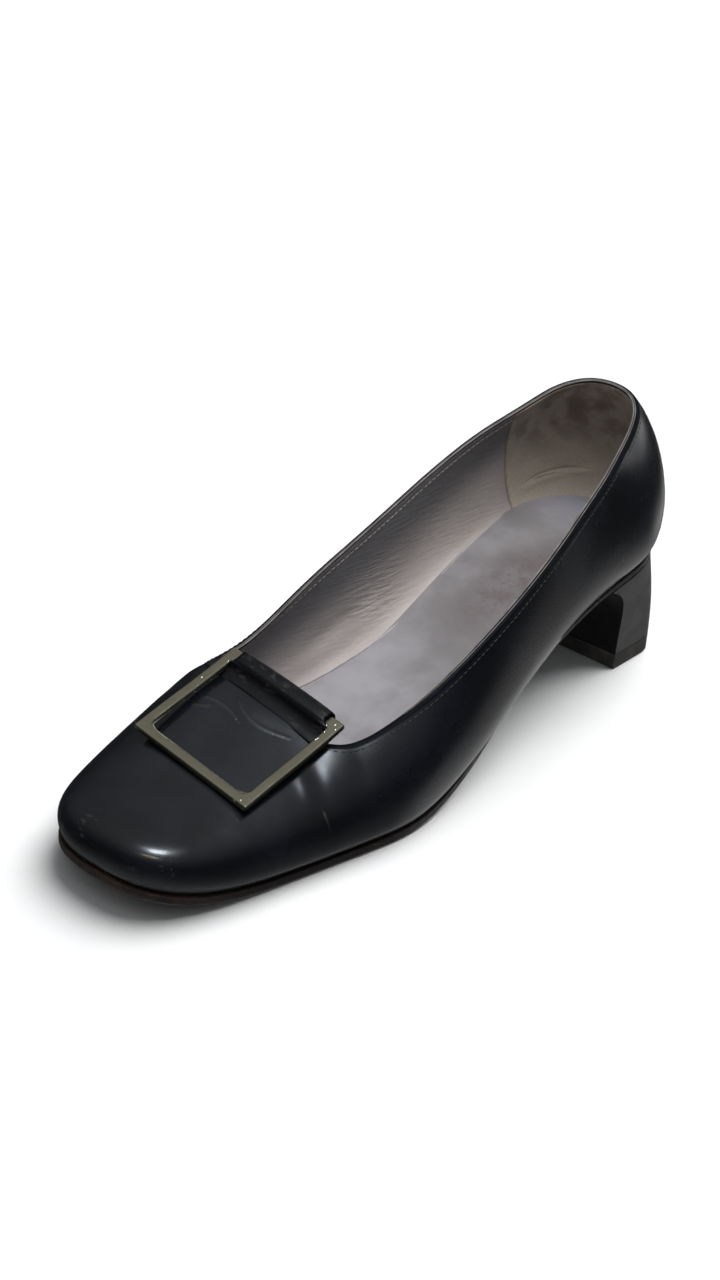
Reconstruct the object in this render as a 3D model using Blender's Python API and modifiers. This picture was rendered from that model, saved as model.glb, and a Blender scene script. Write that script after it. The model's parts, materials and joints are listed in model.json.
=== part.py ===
"""Left block-heel court shoe with a square buckle on the vamp.

The shoe stands on the plane z = 0. +X is the wearer's left, the outer side, and the toe points to -Y.
Sizes are millimetres until a mesh is made. A station is the distance forward from the back of the heel.
"""

import bmesh
import bpy
import numpy as np

MM = 0.001

# Driving dimensions
LENGTH = 247.0
SEAM_GAP = 0.3
WALL = 1.8
SOLE_MARGIN = 0.8
SOLE_EDGE_ROUND = 0.6
INSOLE_THICKNESS = 1.8
INSOLE_CLEARANCE = 2.6
SECTION_BLEND = 8.0

# Plan of the last: how far the round ends reach and how square they are
TOE_REACH = 38.5
TOE_SQUARENESS = 2.7
HEEL_REACH = 32.0
HEEL_SQUARENESS = 2.2

# Throat: where the vamp ends, and how far back and how squarely its corners turn
THROAT_STATION = 178.0
THROAT_CORNER = 24.0
THROAT_SQUARENESS = 5.0

# Heel block at the floor
HEEL_BACK = 4.5
HEEL_FRONT = 32.0
HEEL_HALF_WIDTH = 25.5
HEEL_CORNER = 10.0
HEEL_CORNER_SQUARENESS = 2.4
HEEL_TOP_FRONT = 42.0
LIFT_THICKNESS = 5.5

# Buckle: a square frame of flat bar, and the leather loop round its rear bar
BUCKLE_WIDTH = 45.0
BUCKLE_BAR = 3.4
BUCKLE_THICKNESS = 2.0
BUCKLE_REAR = 170.5
BUCKLE_FRONT = 211.5
BUCKLE_LIFT = 0.4
BUCKLE_EDGE = 0.4
BUCKLE_LEAN = np.radians(9)
LOOP_WALL = 1.1
LOOP_SLACK = 0.4
LOOP_SEAT_GAP = 0.5
LOOP_CORNER = 1.0
LOOP_FLANGE = 3.5

# Mesh fineness
HALF_RIBS = 49
RIB_POINTS = 13
SOLE_STATIONS = 56
HEEL_RING = 14
LOOP_POINTS = 20
LOOP_ROWS = 9


def smooth(xs, ys, x):
    """A monotone cubic through a short table."""
    step = np.diff(xs)
    rise = np.diff(ys) / step
    slope = np.zeros(len(xs))
    slope[0] = rise[0]
    slope[-1] = rise[-1]
    for i in range(1, len(xs) - 1):
        if rise[i - 1] * rise[i] > 0:
            before = 2 * step[i] + step[i - 1]
            after = step[i] + 2 * step[i - 1]
            slope[i] = (before + after) / (before / rise[i - 1] + after / rise[i])
    x = np.clip(np.asarray(x, float), xs[0], xs[-1])
    k = np.clip(np.searchsorted(xs, x, side="right") - 1, 0, len(step) - 1)
    t = (x - xs[k]) / step[k]
    start = (1 + 2 * t) * (1 - t) ** 2 * ys[k] + t * (1 - t) ** 2 * step[k] * slope[k]
    end = t * t * (3 - 2 * t) * ys[k + 1] + t * t * (t - 1) * step[k] * slope[k + 1]
    return start + end


class Sections:
    """A short table of sections along the shoe, read smoothly between its rows."""

    def __init__(self, columns, rows):
        self.columns = columns
        self.rows = np.array(rows, float)

    def at(self, column, station):
        values = self.rows[:, self.columns.index(column)]
        nearby = np.linspace(-SECTION_BLEND, SECTION_BLEND, 7)
        return np.mean([smooth(self.rows[:, 0], values, station + step) for step in nearby], axis=0)

    def highest(self, column):
        return self.rows[:, self.columns.index(column)].max()


# The last: half widths at its widest line, how far the feather edge tucks in under that line, the height of
# the widest line over the sole, the height that the section rises to at a share of its half width, the
# fullness of its outer and inner shoulders, how far its ridge lies from the middle, and how steeply its top
# leans down to the outer side. Behind the throat, that share of the half width is the topline's.
LAST = Sections(
    (
        "station",
        "outer",
        "inner",
        "tuck_outer",
        "tuck_inner",
        "belly",
        "rise",
        "at_share",
        "full_outer",
        "full_inner",
        "ridge",
        "lean",
    ),
    (
        (0, 29.8, 28.5, 3.4, 3.4, 13.5, 53.8, 0.56, 1.65, 1.65, 0.0, 0.0),
        (25, 30.4, 29.0, 3.5, 2.6, 13.5, 48.0, 0.62, 1.75, 1.85, 0.0, 0.0),
        (55, 31.6, 29.2, 4.6, 5.3, 15.0, 42.4, 0.87, 2.0, 2.0, 0.0, 0.0),
        (90, 35.8, 28.4, 6.9, 9.2, 15.0, 41.5, 0.96, 2.1, 2.1, 0.0, 0.0),
        (125, 40.7, 32.2, 3.9, 5.9, 12.2, 40.0, 0.90, 2.2, 2.2, 0.0, 0.0),
        (155, 43.1, 38.2, 2.3, 2.7, 9.6, 32.2, 0.77, 2.5, 2.5, -4.0, 0.0),
        (178, 39.6, 38.8, 2.8, 2.6, 7.8, 28.9, 0.72, 2.6, 2.4, -8.0, 0.115),
        (205, 34.5, 36.6, 3.2, 2.4, 7.8, 26.8, 0.42, 2.8, 1.95, -6.0, 0.115),
        (230, 30.6, 32.8, 2.9, 1.6, 7.2, 18.0, 0.0, 3.3, 1.9, -1.0, 0.03),
        (247, 30.3, 30.4, 2.4, 2.4, 7.8, 16.4, 0.0, 3.3, 2.1, 0.0, 0.0),
    ),
)

# The sole: height of its underside over the floor and its thickness
SOLE = Sections(
    ("station", "underside", "thickness"),
    (
        (0, 39.0, 2.2),
        (25, 36.5, 2.2),
        (50, 32.4, 2.2),
        (70, 26.0, 2.3),
        (95, 17.0, 2.6),
        (120, 7.8, 3.0),
        (140, 2.2, 3.0),
        (158, 0.0, 3.0),
        (194, 0.0, 3.0),
        (208, 0.4, 3.0),
        (227, 2.9, 3.0),
        (247, 8.0, 3.0),
    ),
)

# The floor print is centred under the box of the whole shoe
CENTRE_X = (LAST.highest("outer") - LAST.highest("inner")) / 2

SIDES = {"outer": 1.0, "inner": -1.0}


def spread(count):
    """Shares from 0 to 1, closer together at both ends."""
    return 0.5 * (1 - np.cos(np.pi * np.linspace(0, 1, count)))


def even(points, count):
    """The same polyline with its points evenly spaced along it."""
    lengths = np.linalg.norm(np.diff(points, axis=0), axis=1)
    along = np.concatenate([[0], np.cumsum(lengths)])
    wanted = np.linspace(0, along[-1], count)
    return np.stack([np.interp(wanted, along, axis) for axis in points.T], axis=-1)


def travel(points):
    """Distance along a polyline at each of its points."""
    return np.concatenate([[0], np.cumsum(np.linalg.norm(np.diff(points, axis=0), axis=1))])


def toe_share(station):
    return np.clip((station - (LENGTH - TOE_REACH)) / TOE_REACH, 0, 1)


def heel_share(station):
    return np.clip((HEEL_REACH - station) / HEEL_REACH, 0, 1)


def widest_line(side, count):
    """Plan of the last's widest line on one side, from the heel's back to the toe tip: station, x."""
    station = LENGTH * spread(count)
    toe = (1 - toe_share(station) ** TOE_SQUARENESS) ** (1 / TOE_SQUARENESS)
    heel = (1 - heel_share(station) ** HEEL_SQUARENESS) ** (1 / HEEL_SQUARENESS)
    x = SIDES[side] * LAST.at(side, station) * toe * heel
    return np.stack([station, x], axis=-1)


def feather_line(side, count, outwards=0.0):
    """Plan of the feather edge, where upper meets sole, moved outwards by the given distance."""
    line = widest_line(side, 8 * count)
    ahead = np.gradient(line, axis=0)
    ahead /= np.linalg.norm(ahead, axis=1)[:, None]
    normal = SIDES[side] * np.stack([-ahead[:, 1], ahead[:, 0]], axis=-1)
    tuck = LAST.at("tuck_" + side, line[:, 0]) - outwards
    line = line - normal * tuck[:, None]
    line[[0, -1], 1] = 0.0
    return line


def across(station, x):
    """How far a plan point lies to the inner side, -1, or to the outer side, 1, of the last's ridge."""
    ridge = LAST.at("ridge", station)
    half = np.where(x >= ridge, LAST.at("outer", station) - ridge, LAST.at("inner", station) + ridge)
    return (x - ridge) / half


def share_of_width(station, x):
    """How far a plan point lies from the last's spine, 0, to its widest line, 1."""
    toe = toe_share(station)
    heel = heel_share(station)
    power = np.where(toe > 0, TOE_SQUARENESS, HEEL_SQUARENESS)
    return (np.abs(across(station, x)) ** power + np.maximum(toe, heel) ** power) ** (1 / power)


def underside(station):
    return SOLE.at("underside", station)


def sole_top(station):
    return underside(station) + SOLE.at("thickness", station)


def last_height(station, x):
    """Height over the floor of the upper's outer surface above its widest line."""
    outward = np.clip(0.5 + across(station, x), 0, 1)
    outward = outward * outward * (3 - 2 * outward)
    fullness = LAST.at("full_inner", station)
    fullness = fullness + (LAST.at("full_outer", station) - fullness) * outward
    belly = LAST.at("belly", station)
    share = np.clip(share_of_width(station, x), 0, 1)
    arch = (1 - share**fullness) ** (1 / fullness)
    known = (1 - LAST.at("at_share", station) ** fullness) ** (1 / fullness)
    lean = LAST.at("lean", station) * (x - LAST.at("ridge", station))
    return sole_top(station) + SEAM_GAP + belly + ((LAST.at("rise", station) - belly) / known - lean) * arch


def topline(side, station):
    """Plan of the topline on one side, each point above the given station of the widest line: station, x."""
    corner = np.clip((station - THROAT_STATION + THROAT_CORNER) / THROAT_CORNER, 0, 1)
    share = LAST.at("at_share", station)
    corner = (1 - corner**THROAT_SQUARENESS) ** (1 / THROAT_SQUARENESS)
    line = widest_line(side, 4 * len(station))
    ridge = LAST.at("ridge", station)
    x = ridge + (np.interp(station, line[:, 0], line[:, 1]) - ridge) * share
    behind = HEEL_REACH - (HEEL_REACH - station) * share
    return np.stack([np.where(station < HEEL_REACH, behind, station), x * corner], axis=-1)


def upper_ribs(side):
    """Ribs of the upper's outer surface on one side: each runs from feather edge over widest line to topline."""
    fine = 600
    wide = even(widest_line(side, fine), HALF_RIBS)
    feather = even(feather_line(side, fine // 8), HALF_RIBS)
    below = THROAT_STATION * spread(fine)
    edge = topline(side, below)
    gone = travel(edge)
    done = travel(wide)
    turn = THROAT_STATION - THROAT_CORNER
    turn_wide = np.interp(turn, wide[:, 0], done)
    turn_edge = np.interp(turn, below, gone)
    quarter = np.interp(wide[:, 0], below, gone)
    vamp = turn_edge + (done - turn_wide) / (done[-1] - turn_wide) * (gone[-1] - turn_edge)
    reach = np.where(wide[:, 0] < turn, quarter, vamp)
    tops = np.stack([np.interp(reach, gone, axis) for axis in edge.T], axis=-1)
    bend = np.linspace(0, np.pi / 2, 24)[:-1]
    climb = np.linspace(0, 1, 120) ** 2.5
    ribs = []
    for low, mid, top in zip(feather, wide, tops):
        foot_z = sole_top(low[0]) + SEAM_GAP
        belly_z = last_height(mid[0], mid[1])
        under = mid + np.outer(1 - np.sin(bend), low - mid)
        under_z = foot_z + (belly_z - foot_z) * (1 - np.cos(bend))
        over = mid + np.outer(climb, top - mid)
        over_z = last_height(over[:, 0], over[:, 1])
        plan = np.concatenate([under, over])
        rib = np.column_stack([plan, np.concatenate([under_z, over_z])])
        ribs.append(even(rib, RIB_POINTS))
    return ribs


def place(points):
    """Station, x, height in millimetres to a place in metres."""
    points = np.asarray(points, float)
    return np.stack([points[..., 1] - CENTRE_X, LENGTH / 2 - points[..., 0], points[..., 2]], axis=-1) * MM


def finish(name, shell, colour, roughness, metallic=0.0):
    """Makes the named object from a bmesh, with its own material."""
    mesh = bpy.data.meshes.new(name)
    shell.to_mesh(mesh)
    shell.free()
    mesh.shade_smooth()
    mesh.set_sharp_from_angle(angle=np.radians(35))
    material = bpy.data.materials.new(name)
    material.use_nodes = True
    principled = material.node_tree.nodes["Principled BSDF"]
    principled.inputs["Base Color"].default_value = (*colour, 1.0)
    principled.inputs["Roughness"].default_value = roughness
    principled.inputs["Metallic"].default_value = metallic
    mesh.materials.append(material)
    obj = bpy.data.objects.new(name, mesh)
    shoe.objects.link(obj)
    return obj


def grid(rows, closed):
    """An open sheet of quads through rows of points. Closed sheets join the last row to the first."""
    sheet = bmesh.new()
    verts = [[sheet.verts.new(p) for p in place(row)] for row in rows]
    following = verts[1:] + (verts[:1] if closed else [])
    for here, there in zip(verts, following):
        for a, b, c, d in zip(here, there, there[1:], here[1:]):
            sheet.faces.new((a, d, c, b))
    return sheet


def ladder(levels):
    """A closed solid from levels, lowest first. A level is its outer and inner lines of points, back to front."""
    solid = bmesh.new()
    rings = []
    for outer, inner in levels:
        ring = [solid.verts.new(p) for p in place(outer)]
        ring += [solid.verts.new(p) for p in place(inner)[::-1]]
        rings.append(ring)
    for low, high in zip(rings, rings[1:]):
        for i in range(len(low)):
            j = (i + 1) % len(low)
            solid.faces.new((low[i], low[j], high[j], high[i]))
    half = len(rings[0]) // 2
    for ring in (rings[0], rings[-1]):
        inner = ring[half:][::-1]
        for i in range(half - 1):
            solid.faces.new((ring[i], ring[i + 1], inner[i + 1], inner[i]))
    bmesh.ops.remove_doubles(solid, verts=solid.verts, dist=1e-6)
    bmesh.ops.recalc_face_normals(solid, faces=solid.faces)
    return solid


def slab_level(lines, heights):
    """One level of a slab: each plan line with the height that a function gives at its stations."""
    return [np.column_stack([line, heights(line[:, 0])]) for line in lines]


def make_outsole():
    def lines(inset):
        picks = np.linspace(0, 8 * SOLE_STATIONS - 1, SOLE_STATIONS).astype(int)
        return [feather_line(side, SOLE_STATIONS, SOLE_MARGIN - inset)[picks] for side in SIDES]

    edge = lines(0.0)
    face = lines(SOLE_EDGE_ROUND)
    levels = [
        slab_level(face, underside),
        slab_level(edge, lambda s: underside(s) + SOLE_EDGE_ROUND),
        slab_level(edge, lambda s: sole_top(s) - SOLE_EDGE_ROUND / 2),
        slab_level(face, sole_top),
    ]
    finish("outsole", ladder(levels), (0.035, 0.026, 0.022), 0.5)


def make_insole():
    picks = np.linspace(0, 8 * SOLE_STATIONS - 1, SOLE_STATIONS).astype(int)
    lines = [feather_line(side, SOLE_STATIONS, -INSOLE_CLEARANCE)[picks] for side in SIDES]
    levels = [
        slab_level(lines, lambda s: sole_top(s) + SEAM_GAP),
        slab_level(lines, lambda s: sole_top(s) + SEAM_GAP + INSOLE_THICKNESS),
    ]
    finish("insole", ladder(levels), (0.27, 0.25, 0.26), 0.7)


def make_upper():
    outer = upper_ribs("outer")
    inner = upper_ribs("inner")
    upper = finish("upper", grid(outer + inner[-2:0:-1], True), (0.012, 0.013, 0.019), 0.3)
    wall = upper.modifiers.new("wall", "SOLIDIFY")
    wall.thickness = WALL * MM
    wall.offset = -1.0
    wall.use_even_offset = True
    wall.use_quality_normals = True


def heel_floor_line(side):
    """Half of the heel's floor print, from its back's middle to the corner at the breast: station, x."""
    station = HEEL_BACK + (HEEL_FRONT - HEEL_BACK) * spread(200)
    turn = np.clip((HEEL_BACK + HEEL_CORNER - station) / HEEL_CORNER, 0, 1)
    round_back = (1 - turn**HEEL_CORNER_SQUARENESS) ** (1 / HEEL_CORNER_SQUARENESS)
    x = SIDES[side] * HEEL_HALF_WIDTH * round_back
    return even(np.stack([station, x], axis=-1), HEEL_RING)


def heel_seat_line(side):
    """Half of the heel's seat under the sole, along the sole's edge."""
    line = feather_line(side, 80, SOLE_MARGIN)
    line = line[line[:, 0] < HEEL_TOP_FRONT]
    return even(line, HEEL_RING)


def make_heel():
    flare = 1.6
    breast_flare = 7.0
    levels = []
    for share in (0.0, 0.25, 0.45, 0.62, 0.75, 0.85, 0.93, 1.0):
        level = []
        for side in SIDES:
            floor_line = heel_floor_line(side)
            seat_line = heel_seat_line(side)
            forward = np.linspace(0, 1, HEEL_RING) ** 4
            power = flare + (breast_flare - flare) * forward
            station = floor_line[:, 0] + (seat_line[:, 0] - floor_line[:, 0]) * share**power
            x = floor_line[:, 1] + (seat_line[:, 1] - floor_line[:, 1]) * share**flare
            low = LIFT_THICKNESS + SEAM_GAP
            seat = underside(seat_line[:, 0]) - SEAM_GAP
            level.append(np.column_stack([station, x, low + (seat - low) * share]))
        levels.append(level)
    finish("heel", ladder(levels), (0.02, 0.02, 0.022), 0.45)


def make_top_lift():
    lines = [heel_floor_line(side) for side in SIDES]
    levels = [
        slab_level(lines, lambda s: np.zeros(len(s))),
        slab_level(lines, lambda s: np.full(len(s), LIFT_THICKNESS)),
    ]
    finish("top_lift", ladder(levels), (0.03, 0.026, 0.024), 0.6)


def buckle_height(station, x):
    """Height of the frame's mid plane. It lies on the vamp along its length and leans to the outer side."""
    across = np.linspace(-BUCKLE_WIDTH, BUCKLE_WIDTH, 41) / 2
    fall = np.tan(BUCKLE_LEAN)
    seats = last_height(np.full(len(across), station), across + CENTRE_X) + across * fall
    return seats.max() + BUCKLE_LIFT + BUCKLE_THICKNESS / 2 - (x - CENTRE_X) * fall


def make_buckle_frame():
    half = BUCKLE_WIDTH / 2
    across = np.array([-half, BUCKLE_BAR - half, half - BUCKLE_BAR, half]) + CENTRE_X
    run = np.linspace(BUCKLE_REAR + BUCKLE_BAR, BUCKLE_FRONT - BUCKLE_BAR, 9)
    stations = np.concatenate([[BUCKLE_REAR], run, [BUCKLE_FRONT]])
    rows = [[(s, x, buckle_height(s, x)) for x in across] for s in stations]
    sheet = grid(rows, False)
    sheet.faces.ensure_lookup_table()
    bars = len(across) - 1
    window = [f for i, f in enumerate(sheet.faces) if i % bars == 1 and 0 < i // bars < len(stations) - 2]
    bmesh.ops.delete(sheet, geom=window, context="FACES")
    frame = finish("buckle_frame", sheet, (0.36, 0.33, 0.27), 0.3, 1.0)
    bar = frame.modifiers.new("bar", "SOLIDIFY")
    bar.thickness = BUCKLE_THICKNESS * MM
    bar.offset = 0.0
    edge = frame.modifiers.new("edge", "BEVEL")
    edge.width = BUCKLE_EDGE * MM
    edge.segments = 1
    edge.angle_limit = np.radians(50)


def loop_section(x):
    """Cross-section of the leather loop at x: its outside, and the hole that the frame's rear bar lies in."""
    ends = np.array([BUCKLE_REAR, BUCKLE_REAR + BUCKLE_BAR])
    heights = np.array([buckle_height(station, x) for station in ends])
    middle = np.array([ends.mean(), heights.mean()])
    along = np.array([BUCKLE_BAR, heights[1] - heights[0]])
    along /= np.linalg.norm(along)
    tilt = np.array([along, (-along[1], along[0])])
    angles = np.linspace(0, 2 * np.pi, LOOP_POINTS, endpoint=False)
    turn = np.stack([np.cos(angles), np.sin(angles)], axis=-1)
    core = np.array([BUCKLE_BAR, BUCKLE_THICKNESS]) / 2 + LOOP_SLACK - LOOP_CORNER
    hole = np.sign(np.round(turn, 6)) * core + LOOP_CORNER * turn
    outside = middle + (hole + LOOP_WALL * turn) @ tilt
    hole = middle + hole @ tilt
    tip = THROAT_STATION + LOOP_FLANGE
    root = outside[:, 0].max() + SEAM_GAP
    for point, station, rise in ((0, root, LOOP_WALL), (-1, tip, LOOP_WALL / 2), (-2, root, 0.0)):
        outside[point] = (station, last_height(max(station, THROAT_STATION), x) + LOOP_SEAT_GAP + rise)
    sections = []
    for ring in (outside, hole):
        sections.append(np.column_stack([ring[:, 0], np.full(LOOP_POINTS, x), ring[:, 1]]))
    return sections


def make_buckle_loop():
    half = BUCKLE_WIDTH / 2 - BUCKLE_BAR - 2 * SEAM_GAP
    solid = bmesh.new()
    rows = []
    for x in np.linspace(-half, half, LOOP_ROWS) + CENTRE_X:
        rows.append([[solid.verts.new(p) for p in place(ring)] for ring in loop_section(x)])
    strips = [(a[0], b[0]) for a, b in zip(rows, rows[1:])]
    strips += [(b[1], a[1]) for a, b in zip(rows, rows[1:])]
    strips += [(rows[0][1], rows[0][0]), (rows[-1][0], rows[-1][1])]
    for here, there in strips:
        for i in range(LOOP_POINTS):
            j = (i + 1) % LOOP_POINTS
            solid.faces.new((here[i], here[j], there[j], there[i]))
    bmesh.ops.recalc_face_normals(solid, faces=solid.faces)
    finish("buckle_loop", solid, (0.013, 0.013, 0.016), 0.35)


for old in list(bpy.data.objects):
    bpy.data.objects.remove(old, do_unlink=True)
shoe = bpy.data.collections.new("block_heel_court_shoe")
bpy.context.scene.collection.children.link(shoe)

make_outsole()
make_insole()
make_upper()
make_heel()
make_top_lift()
make_buckle_frame()
make_buckle_loop()
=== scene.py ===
"""A left block-heel court shoe in dark polished calf with a square buckle, dressed over its solids."""

import json
from math import cos, pi, radians, sin

import bpy
import numpy as np
from mathutils import Matrix, Vector
from mathutils.bvhtree import BVHTree
from mathutils.kdtree import KDTree

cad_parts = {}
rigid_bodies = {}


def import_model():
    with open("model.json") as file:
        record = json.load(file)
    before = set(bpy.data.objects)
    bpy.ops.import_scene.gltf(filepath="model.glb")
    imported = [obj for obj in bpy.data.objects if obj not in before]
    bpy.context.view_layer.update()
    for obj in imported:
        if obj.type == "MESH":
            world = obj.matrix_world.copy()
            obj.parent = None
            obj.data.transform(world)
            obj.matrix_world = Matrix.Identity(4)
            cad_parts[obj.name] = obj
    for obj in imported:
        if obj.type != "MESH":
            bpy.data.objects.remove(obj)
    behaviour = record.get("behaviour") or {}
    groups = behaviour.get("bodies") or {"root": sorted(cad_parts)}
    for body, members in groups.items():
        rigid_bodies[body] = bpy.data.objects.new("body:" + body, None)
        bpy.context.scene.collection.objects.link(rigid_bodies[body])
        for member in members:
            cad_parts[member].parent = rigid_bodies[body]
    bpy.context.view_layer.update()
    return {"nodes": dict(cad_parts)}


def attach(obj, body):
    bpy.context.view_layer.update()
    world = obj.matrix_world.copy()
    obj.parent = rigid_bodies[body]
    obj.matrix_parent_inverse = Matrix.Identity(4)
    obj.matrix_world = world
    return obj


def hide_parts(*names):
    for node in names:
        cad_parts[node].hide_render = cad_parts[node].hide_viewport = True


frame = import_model()

# Outsole: thin sole leather cut close to the last and cemented to it, its edge trimmed square.
# The edge is stained almost black and waxed, and the tread and the toe are rubbed back to brown leather.
MM = 0.001
HEEL_BACK_Y = 123.5
WELD = 1e-6
QUAD_TURN = 60
SOLE_STAIN = (0.011, 0.008, 0.007, 1.0)
SOLE_BROWN = (0.046, 0.027, 0.018, 1.0)
SOLE_GREY = (0.026, 0.025, 0.024, 1.0)
SOLE_SCRATCH = (0.12, 0.09, 0.07, 1.0)
SOLE_DULL = (0.36, 0.55)
SOLE_BARE_TOE = (-0.085, -0.12)
SOLE_GREY_RUN = (-0.035, 0.01)
SOLE_TREAD_TURN = (-0.45, -0.9)

scene = bpy.context.scene


def blank_from(node, piece):
    """A workpiece from a CAD solid: its mesh copied, welded and joined into four-sided faces."""
    bpy.ops.object.select_all(action="DESELECT")
    work = bpy.data.objects.new(piece, frame["nodes"][node].data.copy())
    work.data.name = piece
    work.data.materials.clear()
    scene.collection.objects.link(work)
    bpy.context.view_layer.objects.active = work
    work.select_set(True)
    bpy.ops.mesh.customdata_custom_splitnormals_clear()
    bpy.ops.object.shade_smooth()
    bpy.ops.object.mode_set(mode="EDIT")
    bpy.ops.mesh.select_all(action="SELECT")
    bpy.ops.mesh.remove_doubles(threshold=WELD)
    bpy.ops.mesh.tris_convert_to_quads(face_threshold=radians(QUAD_TURN), shape_threshold=radians(QUAD_TURN))
    bpy.ops.mesh.select_all(action="DESELECT")
    bpy.ops.object.mode_set(mode="OBJECT")
    return work


def select_sharp(angle):
    """In edit mode, selects only the edges that turn more than the angle."""
    bpy.ops.mesh.select_mode(type="EDGE")
    bpy.ops.mesh.select_all(action="DESELECT")
    bpy.ops.mesh.edges_select_sharp(sharpness=radians(angle))


def refine(work, levels):
    """Applies a subdivision surface to a workpiece."""
    bpy.context.view_layer.objects.active = work
    bpy.ops.object.modifier_add(type="SUBSURF")
    fine = work.modifiers[-1]
    fine.levels = levels
    fine.render_levels = levels
    bpy.ops.object.modifier_apply(modifier=fine.name)


def soften(work, angle, width, segments, levels):
    """Breaks a workpiece's sharp edges with a small round and makes its skin finer."""
    bpy.ops.object.mode_set(mode="EDIT")
    select_sharp(angle)
    bpy.ops.mesh.bevel(offset=width * MM, segments=segments, affect="EDGES", clamp_overlap=True)
    bpy.ops.object.mode_set(mode="OBJECT")
    refine(work, levels)


def set_on(work, node):
    """The piece moves with the shoe, and the CAD node that it stands for, if any, is hidden."""
    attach(work, "root")
    if node:
        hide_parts(node)


def add(tree, kind, inputs=None, **settings):
    """A shader node with its settings, and its inputs linked or set by name or number."""
    node = tree.nodes.new(kind)
    for name, value in settings.items():
        setattr(node, name, value)
    for name, value in (inputs or {}).items():
        if isinstance(value, bpy.types.NodeSocket):
            tree.links.new(value, node.inputs[name])
        else:
            node.inputs[name].default_value = value
    return node


def blend(tree, share, first, second):
    """A colour between two others."""
    mix = add(tree, "ShaderNodeMix", {0: share, 6: first, 7: second}, data_type="RGBA")
    return mix.outputs[2]


def ramp(tree, value, low, high, to_low=0.0, to_high=1.0):
    """A value brought smoothly from one range to another."""
    inputs = {"Value": value, "From Min": low, "From Max": high, "To Min": to_low, "To Max": to_high}
    return add(tree, "ShaderNodeMapRange", inputs, interpolation_type="SMOOTHSTEP").outputs[0]


def sums(tree, operation, first, second):
    """Two values put together by an operation."""
    return add(tree, "ShaderNodeMath", {0: first, 1: second}, operation=operation).outputs[0]


def share_of(tree, mask, share):
    """A mask or a relief at a share of its strength."""
    return sums(tree, "MULTIPLY", mask, share)


def between(tree, mask, low, high):
    """A value that goes smoothly from low to high as a mask goes from 0 to 1."""
    return ramp(tree, mask, 0.0, 1.0, low, high)


def vectors(tree, operation, first, second):
    """Two vectors put together by an operation: a vector or, for a dot product or a distance, a value."""
    node = add(tree, "ShaderNodeVectorMath", {0: first, 1: second}, operation=operation)
    return node.outputs["Value" if operation in ("DOT_PRODUCT", "DISTANCE") else "Vector"]


def place_on(tree):
    """The place on the shoe, in metres."""
    return add(tree, "ShaderNodeTexCoord").outputs["Object"]


def axes_of(tree, vector):
    """A vector's X, Y and Z."""
    return add(tree, "ShaderNodeSeparateXYZ", {0: vector}).outputs


def scale_for(tree, size):
    """The scale of a pattern whose features have the given size in millimetres."""
    return sums(tree, "DIVIDE", 1.0 / MM, size)


def effect(name, inputs, outputs):
    """An empty effect that several finishes share, with its named inputs and outputs."""
    tree = bpy.data.node_groups.new(name, "ShaderNodeTree")
    for label, value in inputs.items():
        kind = "NodeSocketVector" if isinstance(value, tuple) else "NodeSocketFloat"
        tree.interface.new_socket(label, in_out="INPUT", socket_type=kind).default_value = value
    for label in outputs:
        tree.interface.new_socket(label, in_out="OUTPUT", socket_type="NodeSocketFloat")
    return tree, tree.nodes.new("NodeGroupInput").outputs, tree.nodes.new("NodeGroupOutput")


def use(tree, shared, **inputs):
    """One use of a shared effect in a finish."""
    node = add(tree, "ShaderNodeGroup", node_tree=shared)
    for label, value in inputs.items():
        node.inputs[label].default_value = value
    return node.outputs


def finish_on(work, name, **constant):
    """A new finish on a workpiece, with what is the same all over it. Gives its tree and shader."""
    material = bpy.data.materials.new(name)
    material.use_nodes = True
    work.data.materials.append(material)
    shader = material.node_tree.nodes["Principled BSDF"]
    for socket, value in constant.items():
        shader.inputs[socket.replace("_", " ")].default_value = value
    return material.node_tree, shader


def lay(tree, shader, colour, roughness, height, depth):
    """Joins colour, roughness and a relief of the given depth in millimetres to the shader."""
    tree.links.new(colour, shader.inputs["Base Color"])
    tree.links.new(roughness, shader.inputs["Roughness"])
    relief = add(tree, "ShaderNodeBump", {"Height": height, "Distance": depth * MM, "Strength": 1.0})
    tree.links.new(relief.outputs[0], shader.inputs["Normal"])


cloud, taken, given = effect("soft_mottle", {"Size mm": 12.0, "Low": 0.35, "High": 0.65}, ("Value",))
place = place_on(cloud)
scale = scale_for(cloud, taken["Size mm"])
soft = {"Vector": place, "Scale": scale, "Detail": 5.0, "Roughness": 0.55}
noise = add(cloud, "ShaderNodeTexNoise", soft)
cloud.links.new(ramp(cloud, noise.outputs[0], taken["Low"], taken["High"]), given.inputs["Value"])

marks, taken, given = effect("rubbed_marks", {"Size mm": 4.0, "Amount": 0.3}, ("Mask", "Height"))
place = place_on(marks)
scale = scale_for(marks, taken["Size mm"])
slanted = {"Vector": place, "Rotation": (0.3, 0.5, 0.8), "Scale": (0.25, 1.0, 1.0)}
turned = add(marks, "ShaderNodeMapping", slanted)
streaks = add(marks, "ShaderNodeTexNoise", {"Vector": turned.outputs[0], "Scale": scale, "Detail": 6.0})
patches = add(marks, "ShaderNodeTexNoise", {"Vector": place, "Scale": sums(marks, "MULTIPLY", scale, 0.12)})
start = sums(marks, "SUBTRACT", 0.75, sums(marks, "MULTIPLY", taken["Amount"], 0.3))
lines = ramp(marks, streaks.outputs[0], start, sums(marks, "ADD", start, 0.07))
where = ramp(marks, patches.outputs[0], 0.48, 0.62)
marks.links.new(sums(marks, "MULTIPLY", lines, where), given.inputs["Mask"])
marks.links.new(streaks.outputs[0], given.inputs["Height"])

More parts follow.
